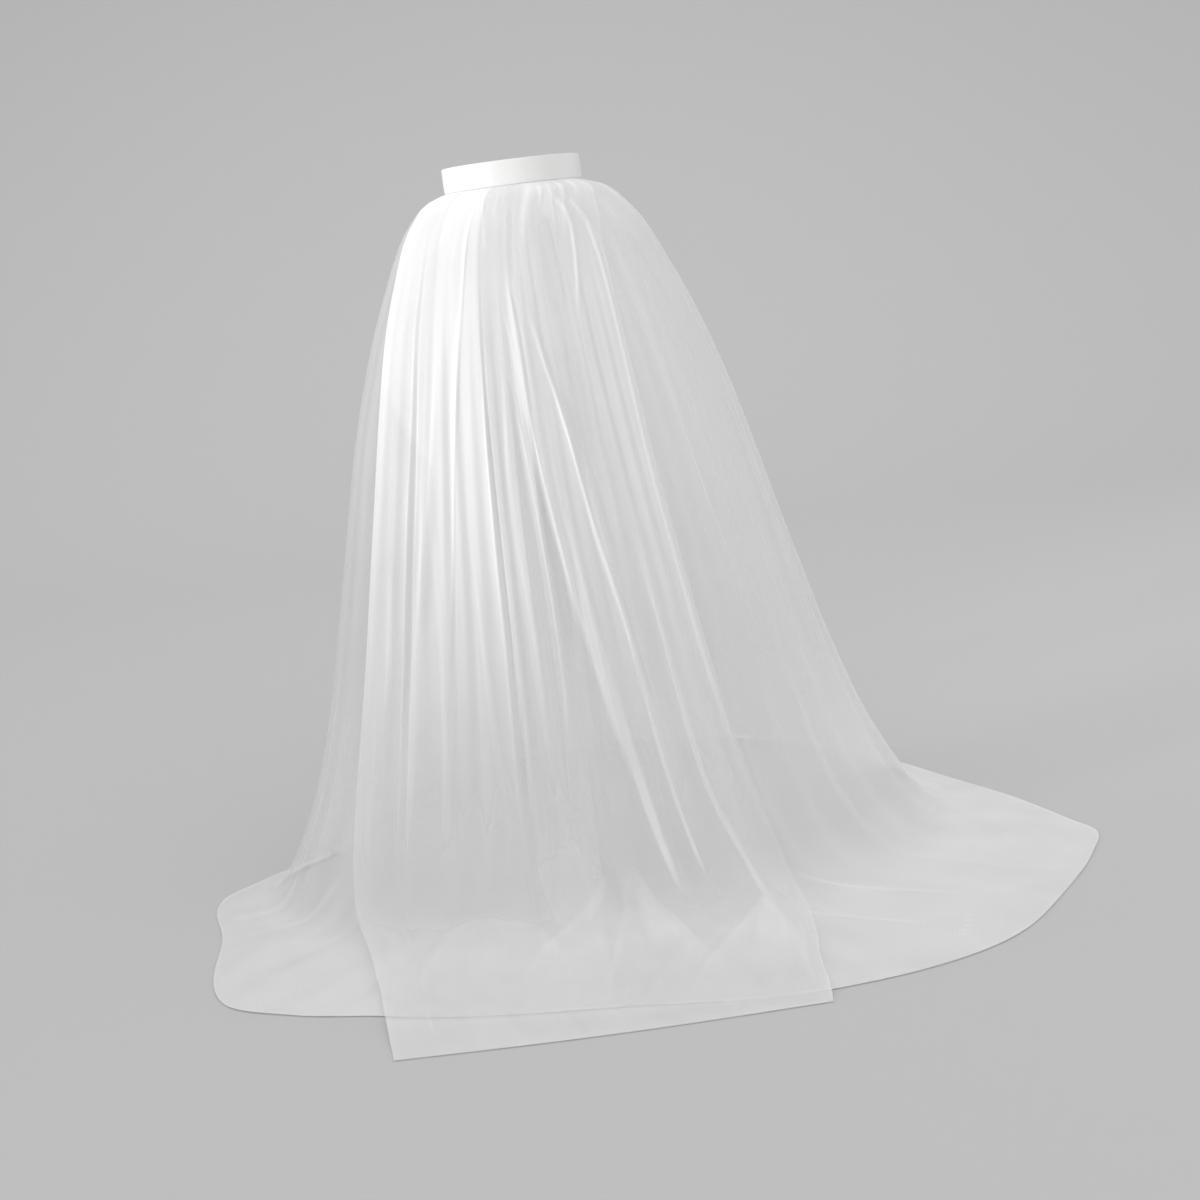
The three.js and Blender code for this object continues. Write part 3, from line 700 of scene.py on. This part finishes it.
def makeOverlay():
    rows = clothRows(rowPlan)
    fallCount = len(rows["down"])
    lyingCount = len(rows["share"])
    count = fallCount + lyingCount
    at = np.linspace(0, 1, overlay["columns"])
    edges = {}
    for edge in ("left", "right"):
        edges[edge] = np.concatenate([
            smoothBetween(overlay["fallEdges"], "down", edge, rows["down"]),
            smoothBetween(overlay["lyingEdges"], "share", edge, rows["share"]),
        ])
    turn = column(edges["left"]) + column(edges["right"] - edges["left"]) * at[None, :]
    cloth = newCloth(rows, turn, edges["left"], edges["right"], overlay["farReach"])
    rng = np.random.default_rng(overlay["seed"])
    for gathers in overlay["gathers"]:
        addGathers(rng, cloth, gathers)
    for streak in upperStreaks.values():
        addStreak(cloth, streak)
    for fold in broadFolds.values():
        addBroadFold(cloth, fold, at)

    # the panel's main folds follow lines that lean, so their profile is read back along those lines
    swell = np.concatenate([rows["swell"], np.ones(lyingCount)])
    lean = overlay["leanAtWaist"] + (overlay["leanAtFoot"] - overlay["leanAtWaist"]) * swell
    profile = np.empty(turn.shape)
    fineAt = np.linspace(0, 1, 4001)
    fineProfile = foldProfile(overlay["folds"], overlay["leanPivot"], fineAt)
    for i in range(count):
        profile[i] = np.interp(at, leaned(fineAt, lean[i]), fineProfile)
    settled = column(0.25 + 0.75 * eased(cloth["path"] / 0.5))
    share, shareChange = overlay["foldShare"]
    standing = settled * (1 + profile) / 2
    standing = standing * np.clip(share + shareChange * softNoise(rng, turn.shape, (4, 9)), 0.06, 1)
    broad = softNoise(rng, turn.shape, (7, 8))
    fine = cloth["out"] + overlay["sway"] * broad * column(eased(cloth["path"] / 0.3))

    foldDepth = np.concatenate([rows["fold"], rows["lying_fold"]])
    overFold = np.concatenate([rows["overFold"], rows["lying_overFold"]])
    slope = np.gradient(rows["swell"], rows["down"])
    clearFall = overlay["clear"] * np.hypot(1, slope * overlay["flare"])
    clear = np.concatenate([clearFall, np.full(lyingCount, overlay["clear"])])
    clear[0] = overlay["clear"]
    onFloor = column(cloth["onFloor"])
    start = column(eased((cloth["path"] - cloth["path"][0]) / 0.008))
    own = column(overFold) * standing + fine * (1 - onFloor) * start
    out = column(foldDepth + clear) + softMax(own, 0, 0.0010)
    crease = np.concatenate([np.zeros(fallCount), rows["lying_crease"]])
    overCrease = np.concatenate([np.zeros(fallCount), rows["lying_overCrease"]])
    clearUp = np.concatenate([np.zeros(fallCount), np.full(lyingCount, overlay["clear"])])
    up = column(crease + clearUp) + column(overCrease) * standing * 0.35
    up = up + onFloor * softMax(fine * 0.7, 0, 0.0010)
    nearFoot = eased((cloth["path"] - 0.84) / 0.16) * (1 - eased((cloth["path"] - 1.22) / 0.10))
    out = out + column(overlay["footClear"] * nearFoot)
    up = up + column(overlay["footClear"] * nearFoot) * onFloor
    seam = np.minimum(eased(at / 0.01), eased((1 - at) / 0.01))[None, :]
    turn = turn + np.degrees(cloth["side"] * seam / column(cloth["reach"]))
    points = skirtPoints(turn, out, up, rows)

    # past the gores' hem the panel comes down on the floor and ends in its own straight hem
    hemTurn = overlay["hemEdge"]["left"] + (overlay["hemEdge"]["right"] - overlay["hemEdge"]["left"]) * at
    reachHem = overlay["hemBack"] + overlay["hemBow"] * np.sin(np.pi * at) - skirtForm["footCentreBack"]
    reachHem = reachHem / np.cos(np.radians(hemTurn))
    angle = np.radians(hemTurn)
    hemLine = np.stack([reachHem * np.sin(angle), -skirtForm["footCentreBack"] - reachHem * np.cos(angle),
                        np.full(at.shape, skirtForm["floor"] + skirtForm["wall"])], -1)
    last = points[-1]
    tail = []
    for step in np.linspace(0, 1, overlay["hemRows"] + 1)[1:]:
        row = last + (hemLine - last) * step
        row[:, 2] = last[:, 2] + (hemLine[:, 2] - last[:, 2]) * eased(step * 1.15)
        tail.append(row)
    points = np.concatenate([points, np.array(tail)])
    points = footSmoothed(points, fallCount, overlay["footSmoothing"], overlay["footRows"])
    points[..., 2] = np.maximum(points[..., 2], skirtForm["floor"] + 0.0006)
    layers = np.concatenate([cloth["layers"], np.repeat(cloth["layers"][-1:] * 0.5, overlay["hemRows"], 0)])
    lying = np.concatenate([eased((cloth["path"] - 1.13) / 0.12), np.ones(overlay["hemRows"])])
    density = np.clip(densityOf(points, 0.72), 0.8, 2.0) * (1 + 0.25 * column(lying)) + layers
    density = np.maximum(density, 0.25)
    hemRise = eased(np.linspace(0, 4, overlay["hemRows"] + 1)[1:])
    density[-overlay["hemRows"]:] += overlay["hemLayers"] * column(hemRise)
    cloudy = 0.05 * softNoise(rng, density.shape, (5, 50)) + 0.08 * softNoise(rng, density.shape, (36, 30))
    density *= 1 + cloudy
    return points, density


# white bridal tulle
tulleSettings = {
    "colour": (0.78, 0.78, 0.78),
    "roughness": 0.7,
    "sheen": 0.25,
    "netPitch": 0.0019,
    "goreCover": 0.255,
    "overlayCover": 0.34,
    "threadLevel": 0.6,
    "threadContrast": 0.7,
    "grain": 0.4,
    "grainLow": 0.95,
    "edgeOn": 1.6,
    "cloudScale": 9,
    "cloudDark": 0.95,
}


def mathNode(tree, operation, a, b=None, clamp=False):
    node = tree.nodes.new("ShaderNodeMath")
    node.operation = operation
    node.use_clamp = clamp
    for socket, value in zip(node.inputs, (a, b)):
        if value is None:
            continue
        if isinstance(value, (int, float)):
            socket.default_value = value
        else:
            tree.links.new(value, socket)
    return node.outputs[0]


def netGroup():
    # hexagonal net: 1 on the threads, 0 in the holes
    group = bpy.data.node_groups.new("tulleNet", "ShaderNodeTree")
    group.interface.new_socket("Vector", in_out="INPUT", socket_type="NodeSocketVector")
    pitch = group.interface.new_socket("Pitch", in_out="INPUT", socket_type="NodeSocketFloat")
    pitch.default_value = tulleSettings["netPitch"]
    group.interface.new_socket("Threads", in_out="OUTPUT", socket_type="NodeSocketFloat")
    start = group.nodes.new("NodeGroupInput")
    end = group.nodes.new("NodeGroupOutput")
    split = group.nodes.new("ShaderNodeSeparateXYZ")
    group.links.new(start.outputs["Vector"], split.inputs[0])
    rate = mathNode(group, "DIVIDE", 2 * math.pi, start.outputs["Pitch"])
    x = mathNode(group, "MULTIPLY", split.outputs[0], rate)
    y = mathNode(group, "MULTIPLY", split.outputs[1], rate)
    total = mathNode(group, "COSINE", x)
    for sign in (1, -1):
        slanted = mathNode(group, "ADD", mathNode(group, "MULTIPLY", x, 0.5),
                           mathNode(group, "MULTIPLY", y, sign * math.sqrt(3) / 2))
        total = mathNode(group, "ADD", total, mathNode(group, "COSINE", slanted))
    level = mathNode(group, "SUBTRACT", tulleSettings["threadLevel"], total)
    threads = mathNode(group, "MULTIPLY", level, tulleSettings["threadContrast"], clamp=True)
    group.links.new(threads, end.inputs["Threads"])
    return group


def tulleMaterial(name, cover, net):
    material = bpy.data.materials.new(name)
    material.use_nodes = True
    tree = material.node_tree
    tree.nodes.clear()
    output = tree.nodes.new("ShaderNodeOutputMaterial")
    shader = tree.nodes.new("ShaderNodeBsdfPrincipled")
    tree.links.new(shader.outputs[0], output.inputs["Surface"])
    shader.inputs["Roughness"].default_value = tulleSettings["roughness"]
    shader.inputs["Sheen Weight"].default_value = tulleSettings["sheen"]
    shader.inputs["Sheen Roughness"].default_value = 0.4
    shader.inputs["Specular IOR Level"].default_value = 0.25
    uv = tree.nodes.new("ShaderNodeUVMap")
    uv.uv_map = "clothUv"
    threads = tree.nodes.new("ShaderNodeGroup")
    threads.node_tree = net
    threads.inputs["Pitch"].default_value = tulleSettings["netPitch"]
    tree.links.new(uv.outputs[0], threads.inputs["Vector"])
    # uneven tone of the net, so that it isn't one flat white
    cloud = tree.nodes.new("ShaderNodeTexNoise")
    cloud.inputs["Scale"].default_value = tulleSettings["cloudScale"]
    cloud.inputs["Detail"].default_value = 3
    place = tree.nodes.new("ShaderNodeTexCoord")
    tree.links.new(place.outputs["Object"], cloud.inputs["Vector"])
    dark = [value * tulleSettings["cloudDark"] for value in tulleSettings["colour"]]
    tone = tree.nodes.new("ShaderNodeMixRGB")
    tone.inputs[1].default_value = (*dark, 1)
    tone.inputs[2].default_value = (*tulleSettings["colour"], 1)
    tree.links.new(cloud.outputs["Fac"], tone.inputs[0])
    tree.links.new(tone.outputs[0], shader.inputs["Base Color"])
    density = tree.nodes.new("ShaderNodeAttribute")
    density.attribute_name = "clothDensity"
    facing = tree.nodes.new("ShaderNodeLayerWeight")
    facing.inputs["Blend"].default_value = 0.5
    # the net looks closer where it is seen edge on
    straightOn = mathNode(tree, "SUBTRACT", tulleSettings["edgeOn"], facing.outputs["Facing"])
    thickness = mathNode(tree, "DIVIDE", density.outputs["Fac"], straightOn)
    grain = mathNode(tree, "MULTIPLY", threads.outputs[0], tulleSettings["grain"])
    grain = mathNode(tree, "ADD", grain, tulleSettings["grainLow"])
    thickness = mathNode(tree, "MULTIPLY", thickness, grain)
    through = mathNode(tree, "POWER", 1 - cover, thickness)
    alpha = mathNode(tree, "SUBTRACT", 1, through, clamp=True)
    tree.links.new(alpha, shader.inputs["Alpha"])
    return material


# the satin band, one closed ring
band = {
    "halfWidth": 0.110,
    "halfDepth": 0.086,
    "height": 0.038,
    "wall": 0.003,
    "steps": 240,
    "edgeRound": 0.0009,
    "crown": 0.0006,
    "ripple": 0.0003,
    "colour": (0.76, 0.76, 0.755),
    "darkThread": 0.94,
    "weave": (60, 60, 900),
}


def deselectAll():
    if bpy.context.mode != "OBJECT":
        bpy.ops.object.mode_set(mode="OBJECT")
    bpy.ops.object.select_all(action="DESELECT")


def makeBand(settings):
    deselectAll()
    bpy.ops.mesh.primitive_cylinder_add(vertices=settings["steps"], radius=1, depth=settings["height"],
                                        end_fill_type="NOTHING", location=(0, 0, 0))
    piece = bpy.context.object
    piece.name = "satinBand"
    bpy.ops.object.mode_set(mode="EDIT")
    bpy.ops.mesh.select_all(action="SELECT")
    bpy.ops.transform.resize(value=(settings["halfWidth"], settings["halfDepth"], 1))
    bpy.ops.mesh.subdivide(number_cuts=1)
    bpy.ops.object.mode_set(mode="OBJECT")
    mesh = piece.data
    edit = bmesh.new()
    edit.from_mesh(mesh)
    uprights = [edge for edge in edit.edges if abs(edge.verts[0].co.z - edge.verts[1].co.z) > 0.01]
    bmesh.ops.subdivide_edges(edit, edges=uprights, cuts=9, use_grid_fill=True)
    half = settings["height"] / 2
    for vertex in edit.verts:
        x, y, z = vertex.co
        turn = math.atan2(x, -y)
        outward = Vector((x / settings["halfWidth"] ** 2, y / settings["halfDepth"] ** 2, 0)).normalized()
        crown = settings["crown"] * (1 - (z / half) ** 2)
        ripple = settings["ripple"] * math.sin(9 * turn + 30 * z) * math.sin(4 * turn + 1.3 - 20 * z)
        vertex.co += outward * (crown + ripple * (1 - (z / half) ** 4) - settings["crown"])
    edit.to_mesh(mesh)
    edit.free()
    solid = piece.modifiers.new("wall", "SOLIDIFY")
    solid.thickness = settings["wall"] - settings["crown"]
    solid.offset = -1
    bpy.ops.object.modifier_apply(modifier="wall")
    bevel = piece.modifiers.new("rolledEdges", "BEVEL")
    bevel.width = settings["edgeRound"]
    bevel.segments = 3
    bevel.limit_method = "ANGLE"
    bevel.angle_limit = math.radians(50)
    bpy.ops.object.modifier_apply(modifier="rolledEdges")
    bpy.ops.object.shade_smooth_by_angle(angle=math.radians(60))
    return piece


def satinMaterial(settings):
    material = bpy.data.materials.new("whiteSatin")
    material.use_nodes = True
    tree = material.node_tree
    shader = tree.nodes["Principled BSDF"]
    shader.inputs["Roughness"].default_value = 0.34
    shader.inputs["Sheen Weight"].default_value = 0.3
    shader.inputs["Anisotropic"].default_value = 0.5
    shader.inputs["Specular IOR Level"].default_value = 0.5
    place = tree.nodes.new("ShaderNodeTexCoord")
    stretch = tree.nodes.new("ShaderNodeMapping")
    stretch.inputs["Scale"].default_value = settings["weave"]
    tree.links.new(place.outputs["Object"], stretch.inputs["Vector"])
    threads = tree.nodes.new("ShaderNodeTexNoise")
    threads.inputs["Scale"].default_value = 1
    threads.inputs["Detail"].default_value = 2
    tree.links.new(stretch.outputs[0], threads.inputs["Vector"])
    bump = tree.nodes.new("ShaderNodeBump")
    bump.inputs["Strength"].default_value = 0.12
    bump.inputs["Distance"].default_value = 0.0004
    tree.links.new(threads.outputs["Fac"], bump.inputs["Height"])
    tree.links.new(bump.outputs[0], shader.inputs["Normal"])
    tone = tree.nodes.new("ShaderNodeMixRGB")
    dark = [value * settings["darkThread"] for value in settings["colour"]]
    tone.inputs[1].default_value = (*dark, 1)
    tone.inputs[2].default_value = (*settings["colour"], 1)
    tree.links.new(threads.outputs["Fac"], tone.inputs[0])
    tree.links.new(tone.outputs[0], shader.inputs["Base Color"])
    return material


net = netGroup()
goreTulle = tulleMaterial("goreTulle", tulleSettings["goreCover"], net)
overlayTulle = tulleMaterial("overlayTulle", tulleSettings["overlayCover"], net)
satin = satinMaterial(band)
print("materials made")

satinBand = makeBand(band)
satinBand.data.materials.append(satin)
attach(satinBand, "root")
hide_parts("waistband")
print("band made")

for panel in gores["panels"]:
    points, density = makeGore(panel)
    area = sheetArea(points)
    piece = meshFromGrid(panel["name"], points, clothUv(points, gores["cutWidth"]), density)
    piece.data.materials.append(goreTulle)
    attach(piece, "root")
    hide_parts(panel["node"])
    print("gore", panel["name"], "area", round(area, 3))

points, density = makeOverlay()
area = sheetArea(points)
upperPanel = meshFromGrid("upperPanel", points, clothUv(points, overlay["cutWidth"]), density)
upperPanel.data.materials.append(overlayTulle)
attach(upperPanel, "root")
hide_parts("train_overlay")
print("upper panel area", round(area, 3))
print("upper panel made")

# floor and backdrop in one sweep, and soft light from the upper left
studio = {
    "reach": 9.0,
    "wallBack": 2.4,
    "wallBend": 3.0,
    "tone": (0.49, 0.49, 0.49),
    "key": {"kind": "SPOT", "size": 0.3, "power": 322, "cone": 28,
            "at": (-3.01, -1.38, 0.27), "aim": (-0.12, -0.12, -0.18)},
    "fill": {"kind": "AREA", "size": 3.0, "power": 10, "at": (3.2, -2.4, 0.6), "aim": (0, 0, -0.5)},
    "top": {"kind": "AREA", "size": 4.0, "power": 40, "at": (0, 2.0, 3.0), "aim": (0, 1.2, -1)},
    "world": 1.03,
}


def makeStage(settings):
    rows = []
    for y in np.linspace(-settings["reach"], settings["wallBack"], 12):
        rows.append((y, 0.0))
    for angle in np.linspace(0, math.pi / 2, 17)[1:]:
        rows.append((settings["wallBack"] + settings["wallBend"] * math.sin(angle),
                     settings["wallBend"] * (1 - math.cos(angle))))
    rows.append((rows[-1][0], settings["reach"]))
    vertices = []
    for y, z in rows:
        for x in (-settings["reach"], settings["reach"]):
            vertices.append((x, y, z + skirtForm["floor"] - 0.0005))
    faces = [(2 * i, 2 * i + 1, 2 * i + 3, 2 * i + 2) for i in range(len(rows) - 1)]
    mesh = bpy.data.meshes.new("studioSweep")
    mesh.from_pydata(vertices, [], faces)
    mesh.update()
    sweep = bpy.data.objects.new("studioSweep", mesh)
    bpy.context.scene.collection.objects.link(sweep)
    for polygon in mesh.polygons:
        polygon.use_smooth = True
    material = bpy.data.materials.new("studioPaper")
    material.use_nodes = True
    shader = material.node_tree.nodes["Principled BSDF"]
    shader.inputs["Base Color"].default_value = (*settings["tone"], 1)
    shader.inputs["Roughness"].default_value = 0.95
    shader.inputs["Specular IOR Level"].default_value = 0.1
    mesh.materials.append(material)


def addLight(name, settings):
    data = bpy.data.lights.new(name, settings["kind"])
    data.energy = settings["power"]
    if settings["kind"] == "SPOT":
        data.shadow_soft_size = settings["size"]
        data.spot_size = math.radians(settings["cone"])
        data.spot_blend = 1
    else:
        data.size = settings["size"]
    light = bpy.data.objects.new(name, data)
    bpy.context.scene.collection.objects.link(light)
    light.location = settings["at"]
    aim = Vector(settings["aim"]) - Vector(settings["at"])
    light.rotation_euler = aim.to_track_quat("-Z", "Y").to_euler()


def setWorld(strength):
    world = bpy.data.worlds.new("studioWorld")
    bpy.context.scene.world = world
    world.use_nodes = True
    background = world.node_tree.nodes["Background"]
    background.inputs["Color"].default_value = (1, 1, 1, 1)
    background.inputs["Strength"].default_value = strength


makeStage(studio)
for name in ("key", "fill", "top"):
    addLight(name, studio[name])
setWorld(studio["world"])
bpy.context.scene.view_settings.view_transform = "Standard"
bpy.context.scene.cycles.transparent_max_bounces = 40
print("studio set")
